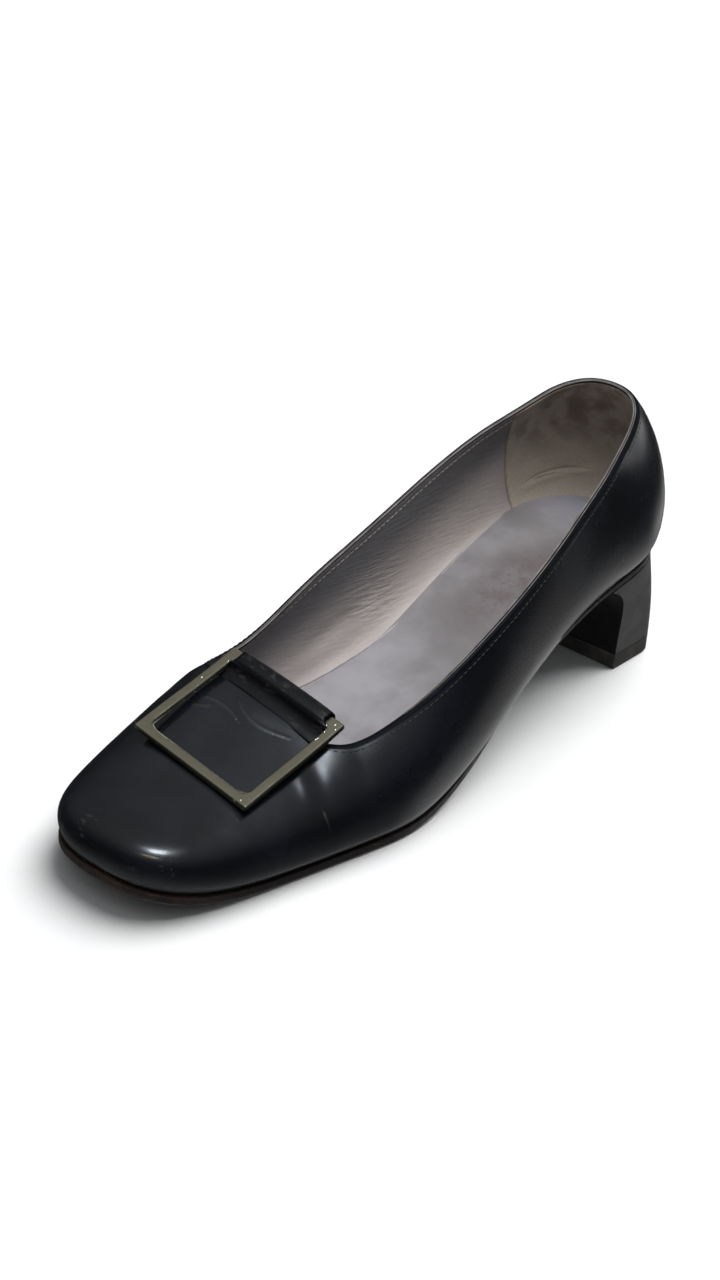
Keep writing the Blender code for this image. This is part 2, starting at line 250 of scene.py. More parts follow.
leather_sole = blank_from("outsole", "leather_sole")
soften(leather_sole, angle=30, width=0.22, segments=2, levels=2)
tree, shader = finish_on(leather_sole, "waxed_sole_edge", Coat_Weight=0.15, Coat_Roughness=0.3)
place = place_on(tree)
axes = axes_of(tree, place)
facing = add(tree, "ShaderNodeNewGeometry").outputs["Normal"]
down = axes_of(tree, facing)["Z"]
tread = ramp(tree, down, *SOLE_TREAD_TURN)
toe = ramp(tree, axes["Y"], *SOLE_BARE_TOE)
waist = ramp(tree, axes["Y"], *SOLE_GREY_RUN)
rub = use(tree, marks, **{"Size mm": 2.2, "Amount": 0.5})
dapple = use(tree, cloud, **{"Size mm": 3.0})["Value"]
bare = sums(tree, "MAXIMUM", tread, sums(tree, "MULTIPLY", toe, dapple))
colour = blend(tree, share_of(tree, bare, 0.55), SOLE_STAIN, SOLE_BROWN)
# Towards the waist the edge is blended to a paler grey.
colour = blend(tree, share_of(tree, waist, 0.6), colour, SOLE_GREY)
colour = blend(tree, share_of(tree, rub["Mask"], 0.3), colour, SOLE_SCRATCH)
lay(tree, shader, colour, between(tree, dapple, *SOLE_DULL), rub["Height"], depth=0.08)
set_on(leather_sole, "outsole")

# Heel: a block covered in the upper's own leather, which is pulled round it, glued and turned under.
# Its breast stands upright and curves forward into the sole. The cover has gone matt with handling.
HEEL_COVER = (0.046, 0.0455, 0.044, 1.0)
HEEL_DUST = (0.075, 0.07, 0.066, 1.0)
BREAST_SHADE = (0.0012, 0.0012, 0.0016, 1.0)
HEEL_DULL = (0.44, 0.6)
BREAST_SHADE_TURN = (-0.3, -0.62)

covered_heel = blank_from("heel", "covered_heel")
soften(covered_heel, angle=40, width=0.7, segments=3, levels=2)
tree, shader = finish_on(covered_heel, "heel_cover_leather", Specular_IOR_Level=0.5)

grain, taken, given = effect("calf_grain", {"Pore mm": 0.32, "Wave mm": 6.0}, ("Height", "Pores"))
place = place_on(grain)
pore = add(grain, "ShaderNodeTexVoronoi", {"Vector": place, "Scale": scale_for(grain, taken["Pore mm"])})
wave = add(grain, "ShaderNodeTexNoise", {"Vector": place, "Scale": scale_for(grain, taken["Wave mm"])})
cells = ramp(grain, pore.outputs["Distance"], 0.0, 0.6)
grain.links.new(cells, given.inputs["Pores"])
height = sums(grain, "ADD", sums(grain, "MULTIPLY", cells, 0.07), wave.outputs[0])
grain.links.new(height, given.inputs["Height"])

skin = use(tree, grain, **{"Pore mm": 0.35})
rub = use(tree, marks, **{"Size mm": 1.6, "Amount": 0.8})
dapple = use(tree, cloud, **{"Size mm": 9.0})["Value"]
colour = blend(tree, share_of(tree, dapple, 0.25), HEEL_COVER, HEEL_DUST)
colour = blend(tree, share_of(tree, rub["Mask"], 0.4), colour, HEEL_DUST)
facing = add(tree, "ShaderNodeNewGeometry").outputs["Normal"]
forward = axes_of(tree, facing)["Y"]
# The breast faces forward under the arch and is painted near black: painted shade.
colour = blend(tree, ramp(tree, forward, *BREAST_SHADE_TURN), colour, BREAST_SHADE)
lay(tree, shader, colour, between(tree, dapple, *HEEL_DULL), skin["Height"], depth=0.03)
set_on(covered_heel, "heel")

# Top lift: a hard rubber slab nailed under the heel and trimmed flush with it.
# Its walking face is scratched and its edge has gone a dull brown.
LIFT_RUBBER = (0.026, 0.0245, 0.023, 1.0)
LIFT_BROWN = (0.042, 0.037, 0.033, 1.0)
LIFT_SCRATCH = (0.1, 0.085, 0.07, 1.0)
LIFT_DULL = (0.5, 0.75)

heel_lift = blank_from("top_lift", "heel_lift")
soften(heel_lift, angle=40, width=0.35, segments=2, levels=2)
tree, shader = finish_on(heel_lift, "worn_lift_rubber", Specular_IOR_Level=0.4)
rub = use(tree, marks, **{"Size mm": 1.2, "Amount": 1.1})
dapple = use(tree, cloud, **{"Size mm": 4.0})["Value"]
colour = blend(tree, share_of(tree, dapple, 0.5), LIFT_RUBBER, LIFT_BROWN)
colour = blend(tree, share_of(tree, rub["Mask"], 0.6), colour, LIFT_SCRATCH)
lay(tree, shader, colour, between(tree, rub["Mask"], *LIFT_DULL), rub["Height"], depth=0.15)
set_on(heel_lift, "top_lift")

# Upper: one piece of polished calf, lined with thin kid, lasted over and cemented under the sole's edge.
# Wear has left soft rolls beside the buckle and fine lines inside it, and the polish dulls along the sole.
CALF_BLACK = (0.0026, 0.003, 0.0044, 1.0)
CALF_BLUE = (0.004, 0.005, 0.0085, 1.0)
CALF_SCUFF_AND_GLEAM = (0.085, 0.078, 0.072, 1.0)
CALF_FOOT = (0.03, 0.025, 0.02, 1.0)
CALF_FLOOR_GLEAM = (0.3, 0.295, 0.285, 1.0)
CALF_DULL = (0.23, 0.28)
POLISH = 0.35
GLOSS = 0.5
RIM_GLOSS = 0.06
SCUFFED_TOE = (-0.105, -0.121)
SCUFFED_SHARE = (0.012, 0.28)
FOOT_BAND = (4.0, 0.3)
GLEAM_BAND = (5.0, 2.2)
GLEAM_RUN = (-0.035, 0.02)
RIM_BAND = (1.8, 0.9)
KID_GREY = (0.52, 0.475, 0.46, 1.0)
KID_SHADE = (0.44, 0.395, 0.375, 1.0)
KID_TOP_SHADE = (0.168, 0.165, 0.172, 1.0)
KID_DULL = (0.5, 0.62)
TOP_SHADE_BAND = (29.0, 9.0)
SEAM_TURN = 68
SEAM_HOLD = 0.9

# Creases of the outside: the places they pass over (x, distance from the heel's back), half width across,
# and height of the roll or, below zero, depth of the trough. All in millimetres.
VAMP_CREASES = (
    (((20.0, 174.6), (23.0, 175.9), (26.5, 177.1), (30.0, 178.3), (33.0, 178.9), (35.5, 179.2)), 3.8, 0.12),
    (((21.0, 182.8), (25.5, 185.2), (30.0, 186.8), (34.0, 187.2)), 3.0, -0.36),
    (((20.5, 187.6), (24.0, 189.2), (27.0, 190.6), (30.0, 192.0)), 2.2, 0.32),
    (((25.0, 169.6), (30.5, 171.4), (35.0, 172.4)), 2.6, -0.4),
    (((-25.0, 174.5), (-30.0, 177.0), (-34.5, 179.0)), 3.4, 0.45),
    (((-26.0, 182.5), (-31.0, 185.0), (-35.0, 186.6)), 2.8, -0.22),
    (((-16.0, 181.0), (-2.0, 182.0), (12.0, 177.5)), 3.0, 0.3),
)

# Fine lines of the outside, drawn in the finish: places, half width and height as above.
FINE_LINES = (
    (((-8.3, 182.8), (-5.4, 184.4), (-2.0, 185.4), (1.6, 185.5), (5.5, 184.8), (11.5, 182.4)), 1.1, 0.1),
    (((-17.8, 188.1), (-13.0, 186.9), (-8.0, 187.0), (-3.1, 188.2)), 1.2, 0.18),
    (((32.3, 189.5), (33.8, 189.5), (35.0, 189.0)), 0.6, 0.25),
    (((-18.0, 192.5), (-15.0, 191.4), (-13.0, 189.4)), 1.2, 0.08),
)

# Folds of the lining (x, distance from the heel's back, height), read in the same way.
LINING_FOLDS = (
    (((-25.5, 100.0, 26.0), (-29.0, 112.0, 21.5), (-32.0, 126.0, 16.5), (-34.0, 140.0, 13.0)), 3.0, 0.5),
    (((-28.5, 98.0, 33.0), (-30.5, 112.0, 27.0), (-33.0, 126.0, 21.0)), 3.0, -0.5),
)

# The patch of the lining that is crumpled: its middle, read as above, its reach, and the wrinkles' relief
# outside and inside it.
CRUMPLED = (-29.5, 99.0, 35.0)
CRUMPLED_REACH = 17.0
WRINKLE_RELIEF = (0.22, 0.75)


def roll(points, path, width, height):
    """How far a soft roll along a path lifts each point."""
    path = np.array(path, float)
    nearest = np.full(len(points), 1e9)
    along = np.zeros(len(points))
    for i, (here, there) in enumerate(zip(path, path[1:])):
        run = there - here
        share = np.clip((points - here) @ run / (run @ run), 0, 1)
        away = np.linalg.norm(points - here - share[:, None] * run, axis=1)
        closer = away < nearest
        nearest[closer] = away[closer]
        along[closer] = (i + share[closer]) / (len(path) - 1)
    fade = np.sin(pi * np.clip(along * 0.9 + 0.05, 0, 1)) ** 0.6
    return height * fade * np.exp(-((nearest / width) ** 2))


def region_from(work, score):
    """The faces that lie within the same seams as the face with the highest score."""
    mesh = work.data
    best = max(mesh.polygons, key=score).index
    mesh.polygons.foreach_set("select", np.arange(len(mesh.polygons)) == best)
    bpy.ops.object.mode_set(mode="EDIT")
    bpy.ops.mesh.select_mode(type="FACE")
    bpy.ops.mesh.select_linked(delimit={"SEAM"})
    bpy.ops.object.mode_set(mode="OBJECT")
    return [face.index for face in mesh.polygons if face.select]


def seam_rings(mesh):
    """The closed rings of seam edges, each as vertex numbers in order."""
    links = {}
    for edge in mesh.edges:
        if edge.use_seam:
            first, second = edge.vertices
            links.setdefault(first, []).append(second)
            links.setdefault(second, []).append(first)
    rings = []
    while links:
        here = next(iter(links))
        ring = []
        while here in links:
            ring.append(here)
            onward = [v for v in links.pop(here) if v in links]
            here = onward[0] if onward else None
        rings.append(ring)
    return rings


def places(mesh):
    """Vertex places and normals of a mesh."""
    spots = np.zeros(len(mesh.vertices) * 3)
    mesh.vertices.foreach_get("co", spots)
    facing = np.zeros(len(mesh.vertices) * 3)
    mesh.vertices.foreach_get("normal", facing)
    return spots.reshape(-1, 3), facing.reshape(-1, 3)


def distance_to(spots, ring):
    """Distance in millimetres from each place to a closed ring of places."""
    tree = KDTree(4 * len(ring))
    for i, (here, there) in enumerate(zip(ring, np.roll(ring, -1, axis=0))):
        for k in range(4):
            tree.insert(here + (there - here) * k / 4, 4 * i + k)
    tree.balance()
    return np.array([tree.find(spot)[2] for spot in spots]) / MM


def faces_of(mesh, number):
    """The corners of each face of a mesh that has one of its finishes."""
    return [list(face.vertices) for face in mesh.polygons if face.material_index == number]


def skin_of(mesh, faces):
    """Some faces of a mesh as a surface to measure from."""
    return BVHTree.FromPolygons([v.co.copy() for v in mesh.vertices], faces)


def over_vamp(surface, plan):
    """Plan places of the shoe carried up to its outside, in millimetres."""
    path = []
    for x, station in plan:
        y = HEEL_BACK_Y - station
        top = surface.ray_cast(Vector((x, y, 200.0)) * MM, Vector((0.0, 0.0, -1.0)))[0]
        top = top or surface.find_nearest(Vector((x, y, 25.0)) * MM)[0]
        path.append((top.x / MM, HEEL_BACK_Y - top.y / MM, top.z / MM))
    return path


def keep(mesh, name, values):
    """Keeps a value for each vertex of a mesh, under a name that a finish can read."""
    mesh.attributes.new(name, "FLOAT", "POINT").data.foreach_set("value", values)


def kept(tree, name):
    """A value that the mesh keeps under a name."""
    return add(tree, "ShaderNodeAttribute", attribute_name=name).outputs["Fac"]


def in_shoe(spots):
    """Places in metres as x, distance from the heel's back and height in millimetres."""
    return np.column_stack([spots[:, 0] / MM, HEEL_BACK_Y - spots[:, 1] / MM, spots[:, 2] / MM])


line, taken, given = effect(
    "fine_line",
    {"From": (0.0, 0.0, 0.0), "To": (0.0, 0.0, 1.0), "Width mm": 1.0, "Rise": 1.0},
    ("Height",),
)
place = place_on(line)
run = vectors(line, "SUBTRACT", taken["To"], taken["From"])
gone = vectors(line, "SUBTRACT", place, taken["From"])
ahead = vectors(line, "DOT_PRODUCT", gone, run)
whole = vectors(line, "DOT_PRODUCT", run, run)
share = add(line, "ShaderNodeClamp", {"Value": sums(line, "DIVIDE", ahead, whole)}).outputs[0]
foot = add(line, "ShaderNodeVectorMath", {0: run, "Scale": share}, operation="SCALE").outputs["Vector"]
away = vectors(line, "DISTANCE", gone, foot)
wide = sums(line, "MULTIPLY", taken["Width mm"], MM)
bank = ramp(line, away, wide, 0.0)
line.links.new(sums(line, "MULTIPLY", bank, taken["Rise"]), given.inputs["Height"])


def drawn(tree, surface, path, width, height):
    """A fine line of a finish along a path on a surface. It bends softly and sinks towards its ends."""
    path = [Vector((x, HEEL_BACK_Y - station, z)) * MM for x, station, z in path]
    path = [surface.find_nearest(spot)[0] for spot in path]
    cut = [here.lerp(there, part) for here, there in zip(path, path[1:]) for part in (0.25, 0.75)]
    corners = [path[0], *cut, path[-1]]
    chain = 0.0
    for here, there, part in zip(corners, corners[1:], np.linspace(-0.85, 0.85, len(corners) - 1)):
        rise = height * (1 - part**4)
        bank = use(tree, line, **{"From": here, "To": there, "Width mm": width, "Rise": rise})["Height"]
        chain = sums(tree, "MAXIMUM", chain, bank)
    return chain


calf_upper = blank_from("upper", "calf_upper")
bpy.ops.object.mode_set(mode="EDIT")
select_sharp(SEAM_TURN)
bpy.ops.mesh.mark_seam()
bpy.ops.transform.edge_crease(value=SEAM_HOLD)
bpy.ops.object.mode_set(mode="OBJECT")
inside = region_from(calf_upper, lambda face: face.center.y if face.normal.y < -0.6 else -1.0)
for number in inside:
    calf_upper.data.polygons[number].material_index = 1
refine(calf_upper, 2)

mesh = calf_upper.data
spots, facing = places(mesh)
rings = sorted(seam_rings(mesh), key=lambda ring: spots[ring][:, 2].mean())
feather_rings = sorted(rings[:2], key=lambda ring: np.ptp(spots[ring][:, 0]))
topline_rings = sorted(rings[2:], key=lambda ring: np.ptp(spots[ring][:, 0]))
topline_in = spots[topline_rings[0]]
topline_out = spots[topline_rings[1]]
feather_out = spots[feather_rings[1]]
lined = np.zeros(len(spots), bool)
lined[np.unique(np.concatenate(faces_of(mesh, 1)))] = True
outer_skin = skin_of(mesh, faces_of(mesh, 0))
lift = np.zeros(len(spots))
shoe_mm = in_shoe(spots)
for plan, width, height in VAMP_CREASES:
    lift += roll(shoe_mm, over_vamp(outer_skin, plan), width, height)
lift[lined] = 0.0
for path, width, height in LINING_FOLDS:
    lift[lined] += roll(shoe_mm[lined], path, width, height)
mesh.vertices.foreach_set("co", (spots + facing * lift[:, None] * MM).ravel())
mesh.update()
keep(mesh, "below_topline", distance_to(spots, topline_out))
keep(mesh, "above_sole", distance_to(spots, feather_out))

tree, shader = finish_on(calf_upper, "polished_calf", Coat_Roughness=0.14)
place = place_on(tree)
axes = axes_of(tree, place)
above = kept(tree, "above_sole")
below = kept(tree, "below_topline")
rim = ramp(tree, below, *RIM_BAND)
skin = use(tree, grain)
rub = use(tree, marks, **{"Size mm": 1.1, "Amount": 0.55})
dapple = use(tree, cloud, **{"Size mm": 22.0})["Value"]
toe = ramp(tree, axes["Y"], *SCUFFED_TOE)
foot = ramp(tree, above, *FOOT_BAND)
colour = blend(tree, dapple, CALF_BLACK, CALF_BLUE)
scuffed = sums(tree, "MULTIPLY", rub["Mask"], between(tree, toe, *SCUFFED_SHARE))
colour = blend(tree, scuffed, colour, CALF_SCUFF_AND_GLEAM)
colour = blend(tree, share_of(tree, foot, 0.35), colour, CALF_FOOT)
# A pale band just above the sole, from the ball back to the heel, is a painted reflection of the floor.
floor_gleam = sums(tree, "MULTIPLY", ramp(tree, above, *GLEAM_BAND), ramp(tree, axes["Y"], *GLEAM_RUN))
colour = blend(tree, share_of(tree, floor_gleam, 0.5), colour, CALF_FLOOR_GLEAM)
dull = sums(tree, "ADD", between(tree, dapple, *CALF_DULL), share_of(tree, foot, 0.15))
dull = sums(tree, "ADD", dull, share_of(tree, rim, 0.3))
tree.links.new(between(tree, rim, POLISH, 0.0), shader.inputs["Coat Weight"])
tree.links.new(between(tree, rim, GLOSS, RIM_GLOSS), shader.inputs["Specular IOR Level"])
relief = share_of(tree, skin["Height"], 0.03)
for plan, width, height in FINE_LINES:
    chain = drawn(tree, outer_skin, over_vamp(outer_skin, plan), width, height)
    relief = sums(tree, "ADD", relief, chain)
    # The fine lines' crests are lightened in colour: painted highlight.
    colour = blend(tree, ramp(tree, chain, 0.3 * height, height, 0.0, 0.13), colour, CALF_SCUFF_AND_GLEAM)
lay(tree, shader, colour, dull, relief, depth=1.0)

tree, shader = finish_on(calf_upper, "kid_lining", Specular_IOR_Level=0.08)
place = place_on(tree)
below = kept(tree, "below_topline")
stretched = {"Vector": place, "Rotation": (0.9, 0.2, 0.4), "Scale": (900.0, 120.0, 900.0)}
slant = add(tree, "ShaderNodeMapping", stretched)
wrinkles = add(tree, "ShaderNodeTexNoise", {"Vector": slant.outputs[0], "Scale": 1.0, "Detail": 3.0})
skin = use(tree, grain, **{"Pore mm": 0.3})
dapple = use(tree, cloud, **{"Size mm": 18.0})["Value"]
colour = blend(tree, share_of(tree, dapple, 0.5), KID_GREY, KID_SHADE)
# Towards the topline the lining is painted darker: painted shade where its walls lean in over the opening.
colour = blend(tree, ramp(tree, below, *TOP_SHADE_BAND, 0.0, 0.96), colour, KID_TOP_SHADE)
relief = sums(tree, "ADD", wrinkles.outputs[0], share_of(tree, skin["Height"], 0.3))
middle = Vector((CRUMPLED[0], HEEL_BACK_Y - CRUMPLED[1], CRUMPLED[2])) * MM
away = vectors(tree, "DISTANCE", place, middle)
crumple = ramp(tree, away, CRUMPLED_REACH * MM, 0.3 * CRUMPLED_REACH * MM, *WRINKLE_RELIEF)
relief = sums(tree, "MULTIPLY", relief, crumple)
lay(tree, shader, colour, between(tree, dapple, *KID_DULL), relief, depth=1.0)
set_on(calf_upper, "upper")

# Topline: the calf is folded over the edge and the lining's turned edge is set against it, a groove between.
# One row of stitches holds them together, black on the calf and pale grey on the lining.
# Each cord of the edge: radius, share of the edge's width from the outside, height above the edge.
RING_POINTS = 420
FOLD_CORD = (0.85, 0.34, -0.55)
GLEAM_CORD = (0.16, 0.60, 0.48)
BINDING_CORD = (0.34, 0.80, 0.5)
LINING_CORD = (0.28, 1.02, 0.85)
STITCH_DROP = 2.5
STITCH_LENGTH = 1.7
STITCH_RADIUS = 0.2
STITCH_PITCH = 2.1
STITCH_SEARCH = 4.5
STITCH_PROUD = 0.02
LINING_STITCH_PROUD = 0.1
STITCH_BLACK = (0.012, 0.012, 0.014, 1.0)
STITCH_BLACK_WORN = (0.03, 0.03, 0.033, 1.0)
STITCH_PALE = (0.42, 0.39, 0.36, 1.0)
STITCH_PALE_WORN = (0.3, 0.275, 0.25, 1.0)
FOLD_DULL = (0.38, 0.48)
EDGE_PALE = (0.24, 0.222, 0.212, 1.0)
EDGE_SHADE = (0.15, 0.137, 0.13, 1.0)
EDGE_DULL = (0.45, 0.6)
THROAT_RUN = (-0.039, -0.044)


def closed_curve(name, ring):
    """A closed curve through a ring of places."""
    run = bpy.data.curves.new(name, "CURVE")
    run.dimensions = "3D"
    spline = run.splines.new("POLY")
    spline.points.add(len(ring) - 1)
    spline.points.foreach_set("co", np.column_stack([ring, np.ones(len(ring))]).ravel())
    spline.use_cyclic_u = True
    curve = bpy.data.objects.new(name, run)
    scene.collection.objects.link(curve)
    return curve


def cord_along(piece, ring, radius):
    """A round bead of leather along a closed ring of places."""
    bpy.ops.object.select_all(action="DESELECT")
    bead = closed_curve(piece, ring)
    bead.data.bevel_depth = radius * MM
    bead.data.bevel_resolution = 3
    bpy.context.view_layer.objects.active = bead
    bead.select_set(True)
    bpy.ops.object.convert(target="MESH")
    bead = bpy.context.view_layer.objects.active
    bpy.ops.object.shade_smooth()
    return bead


def evened(ring, count):
    """A closed ring with its places evenly spaced and lightly smoothed, and its length."""
    for _ in range(4):
        ring = 0.5 * ring + 0.25 * (np.roll(ring, 1, axis=0) + np.roll(ring, -1, axis=0))
    looped = np.vstack([ring, ring[:1]])
    gone = np.concatenate([[0], np.cumsum(np.linalg.norm(np.diff(looped, axis=0), axis=1))])
    wanted = np.linspace(0, gone[-1], count, endpoint=False)
    return np.stack([np.interp(wanted, gone, axis) for axis in looped.T], axis=-1), gone[-1]


def matched(ring, other):
    """For each place of a ring, the nearest place of another ring."""
    tree = KDTree(len(other))
    for i, spot in enumerate(other):
        tree.insert(spot, i)
    tree.balance()
    return np.array([tree.find(spot)[0] for spot in ring])


def edge_cord(piece, cord):
    """One cord of the bound edge, laid along the rim of the opening."""
    radius, across, rise = cord
    ring = fold_line + (matched(fold_line, edge_line) - fold_line) * across
    ring = evened(ring + np.array([0.0, 0.0, rise * MM]), RING_POINTS)[0]
    return cord_along(piece, ring, radius)


fold_line, _ = evened(topline_out, RING_POINTS)
edge_line, _ = evened(topline_in, RING_POINTS)
topline_fold = edge_cord("topline_fold", FOLD_CORD)
topline_binding = edge_cord("topline_binding", BINDING_CORD)
tree, shader = finish_on(topline_fold, "folded_calf_edge", Specular_IOR_Level=0.08)
skin = use(tree, grain)
dapple = use(tree, cloud, **{"Size mm": 5.0})["Value"]
colour = blend(tree, dapple, CALF_BLACK, CALF_BLUE)
lay(tree, shader, colour, between(tree, dapple, *FOLD_DULL), skin["Height"], depth=0.03)
topline_binding.data.materials.append(topline_fold.data.materials[0])
lining_edge = edge_cord("lining_edge", LINING_CORD)
# A thin pale cord between the fold and the binding stands for the highlight along the fold's crest: painted
# highlight.
edge_gleam = edge_cord("edge_gleam", GLEAM_CORD)
tree, shader = finish_on(lining_edge, "turned_lining_edge", Specular_IOR_Level=0.15)
place = place_on(tree)
throat = ramp(tree, axes_of(tree, place)["Y"], *THROAT_RUN)
dapple = use(tree, cloud, **{"Size mm": 5.0})["Value"]
colour = blend(tree, dapple, EDGE_PALE, EDGE_SHADE)
# At the throat, under the buckle roll, the lining's edge is painted black: painted shade.
colour = blend(tree, throat, colour, CALF_BLACK)
lay(tree, shader, colour, between(tree, dapple, *EDGE_DULL), dapple, depth=0.05)
edge_gleam.data.materials.append(lining_edge.data.materials[0])
for cord in (topline_fold, topline_binding, lining_edge, edge_gleam):
    set_on(cord, None)


def row_below(ring, faces, drop, proud):
    """A ring on some faces of the upper that runs a constant distance below a ring along their edge."""
    surface = skin_of(mesh, faces)
    corners = sorted({corner for face in faces for corner in face})
    near = KDTree(len(corners))
    for corner in corners:
        near.insert(mesh.vertices[corner].co, corner)
    near.balance()
    row = []
    for before, here, after in zip(np.roll(ring, 1, axis=0), ring, np.roll(ring, -1, axis=0)):
        ahead = Vector(after - before).normalized()
        found = [spot for spot, _, _ in near.find_range(here, STITCH_SEARCH * MM)]
        inward = sum(found, Vector()) / len(found) - Vector(here)
        inward = (inward - ahead * inward.dot(ahead)).normalized()
        spot, normal, _, _ = surface.find_nearest(Vector(here) + inward * drop * MM)
        row.append(spot + normal * proud * MM)
    return np.array(row)


def stitch_row(piece, ring):
    """One stitch, repeated along a ring and bent to follow it."""
    ring, length = evened(ring, RING_POINTS)
    count = int(length / (STITCH_PITCH * MM))
    bpy.ops.object.select_all(action="DESELECT")
    bpy.ops.mesh.primitive_uv_sphere_add(segments=8, ring_count=6, radius=STITCH_RADIUS * MM)
    row = bpy.context.object
    row.name = piece
    row.data.name = piece
    bpy.ops.object.mode_set(mode="EDIT")
    bpy.ops.transform.resize(value=(1.0, 1.0, STITCH_LENGTH / STITCH_RADIUS / 2))
    bpy.ops.transform.rotate(value=pi / 2, orient_axis="Y", center_override=(0.0, 0.0, 0.0))
    bpy.ops.object.mode_set(mode="OBJECT")
    bpy.ops.object.shade_smooth()
    path = closed_curve(piece + "_path", ring)
    bpy.context.view_layer.objects.active = row
    bpy.ops.object.modifier_add(type="ARRAY")
    repeat = row.modifiers[-1]
    repeat.count = count
    repeat.use_relative_offset = False
    repeat.use_constant_offset = True
    repeat.constant_offset_displace = (length / count, 0.0, 0.0)
    bpy.ops.object.modifier_apply(modifier=repeat.name)
    bpy.ops.object.modifier_add(type="CURVE")
    follow = row.modifiers[-1]
    follow.object = path
    follow.deform_axis = "POS_X"
    bpy.ops.object.modifier_apply(modifier=follow.name)
    bpy.data.objects.remove(path)
    return row


def thread_on(row, name, gloss, colours, dull):
    """The finish of a twisted thread, between two colours and two values of dullness."""
    tree, shader = finish_on(row, name, Specular_IOR_Level=gloss)
    twist = use(tree, cloud, **{"Size mm": 0.5})["Value"]
    lay(tree, shader, blend(tree, twist, *colours), between(tree, twist, *dull), twist, depth=0.04)
    set_on(row, None)


kid_faces = faces_of(mesh, 1)
outer_ring = row_below(fold_line, faces_of(mesh, 0), STITCH_DROP, STITCH_PROUD)
outer_row = stitch_row("topline_stitches", outer_ring)
thread_on(outer_row, "black_thread", 0.45, (STITCH_BLACK, STITCH_BLACK_WORN), (0.4, 0.6))
inner_ring = row_below(edge_line, kid_faces, STITCH_DROP, LINING_STITCH_PROUD)
inner_row = stitch_row("lining_stitches", inner_ring)
thread_on(inner_row, "pale_thread", 0.35, (STITCH_PALE, STITCH_PALE_WORN), (0.5, 0.7))

# Heel grip: a patch of tan suede glued over the lining round the back so that the heel does not slip.
# Its front edges slope forward to the topline, and it is wrinkled above the sock.
# Its top is painted darker brown in mottled patches: painted shade.
GRIP_THICKNESS = 0.4
GRIP_SINK = 0.15
GRIP_EDGE = (93.7, 43.6)
GRIP_SLOPE = 0.272
GRIP_TRIM = 1.3
SUEDE_TAN = (0.62, 0.55, 0.455, 1.0)
SUEDE_BROWN = (0.2, 0.155, 0.125, 1.0)
SUEDE_DULL = (0.8, 0.95)
SUEDE_SHADE_RUN = (0.046, 0.08)

# Wrinkles that stand up from the suede, and fine ones drawn in its finish, read as the folds of the lining.
GRIP_WRINKLES = (
    (
        ((-28.5, 24.0, 46.0), (-25.5, 15.2, 48.6), (-16.5, 5.8, 51.6), (-5.0, 3.2, 53.0), (8.0, 3.6, 52.6)),
        0.9, 0.75,
    ),
    (((-27.5, 20.5, 50.0), (-21.0, 9.6, 53.2), (-11.0, 4.2, 55.6), (-2.0, 2.6, 56.0)), 0.9, -0.45),
    (((18.0, 8.0, 51.5), (24.0, 14.5, 49.0), (27.5, 23.0, 46.5)), 0.9, 0.6),
)
GRIP_LINES = (
    (
        (
            (-28.6, 25.1, 47.4), (-26.9, 18.7, 50.3), (-23.2, 12.0, 52.1),
            (-18.6, 7.1, 53.1), (-12.3, 3.6, 52.9),
        ),
        0.9, 0.3,
    ),
    (((-27.6, 20.8, 48.5), (-23.8, 12.9, 50.4), (-19.8, 8.4, 50.4), (-14.9, 5.0, 51.0)), 0.8, 0.22),
    (((-20.0, 11.1, 67.7), (-18.2, 9.9, 69.3), (-16.5, 7.9, 67.5)), 0.9, 0.3),
    (((-19.9, 10.4, 66.3), (-16.9, 7.8, 66.5)), 0.7, 0.2),
    (((-18.9, 7.6, 57.9), (-16.5, 5.8, 55.6), (-13.7, 4.2, 55.6)), 0.8, 0.25),
    (((-26.8, 18.2, 54.6), (-25.5, 15.5, 55.4), (-24.1, 13.2, 54.4)), 0.8, 0.25),
    (((-19.4, 24.4, 83.7), (-18.4, 21.9, 84.1), (-18.0, 18.3, 82.4)), 0.9, 0.2),
)

bpy.ops.object.select_all(action="DESELECT")
heel_grip = bpy.data.objects.new("heel_grip", mesh.copy())
heel_grip.data.name = "heel_grip"
scene.collection.objects.link(heel_grip)
bpy.context.view_layer.objects.active = heel_grip
heel_grip.select_set(True)
below = np.zeros(len(mesh.vertices))
mesh.attributes["below_topline"].data.foreach_get("value", below)
trimmed = below < GRIP_TRIM
spare = [face.material_index == 0 or bool(trimmed[list(face.vertices)].any()) for face in mesh.polygons]
heel_grip.data.polygons.foreach_set("select", spare)
bpy.ops.object.mode_set(mode="EDIT")
bpy.ops.mesh.select_mode(type="FACE")
bpy.ops.mesh.delete(type="FACE")
bpy.ops.mesh.select_all(action="SELECT")
front = Vector((0.0, -1.0, -GRIP_SLOPE)).normalized()
edge = Vector((0.0, *GRIP_EDGE)) * MM
bpy.ops.mesh.bisect(plane_co=edge, plane_no=front, clear_outer=True)
bpy.ops.object.mode_set(mode="OBJECT")
grip_spots, grip_facing = places(heel_grip.data)
grip_lift = np.zeros(len(grip_spots))
for path, width, height in GRIP_WRINKLES:
    grip_lift += roll(in_shoe(grip_spots), path, width, height)
heel_grip.data.vertices.foreach_set("co", (grip_spots + grip_facing * grip_lift[:, None] * MM).ravel())
bpy.ops.object.modifier_add(type="SOLIDIFY")
pile = heel_grip.modifiers[-1]
pile.thickness = (GRIP_THICKNESS + GRIP_SINK) * MM
pile.offset = GRIP_THICKNESS / (GRIP_THICKNESS + GRIP_SINK) * 2 - 1
bpy.ops.object.modifier_apply(modifier=pile.name)
heel_grip.data.materials.clear()
heel_grip.data.polygons.foreach_set("material_index", np.zeros(len(heel_grip.data.polygons), int))
fuzz = {"Sheen_Weight": 0.25, "Sheen_Roughness": 0.5}
tree, shader = finish_on(heel_grip, "worn_suede", Specular_IOR_Level=0.15, **fuzz)
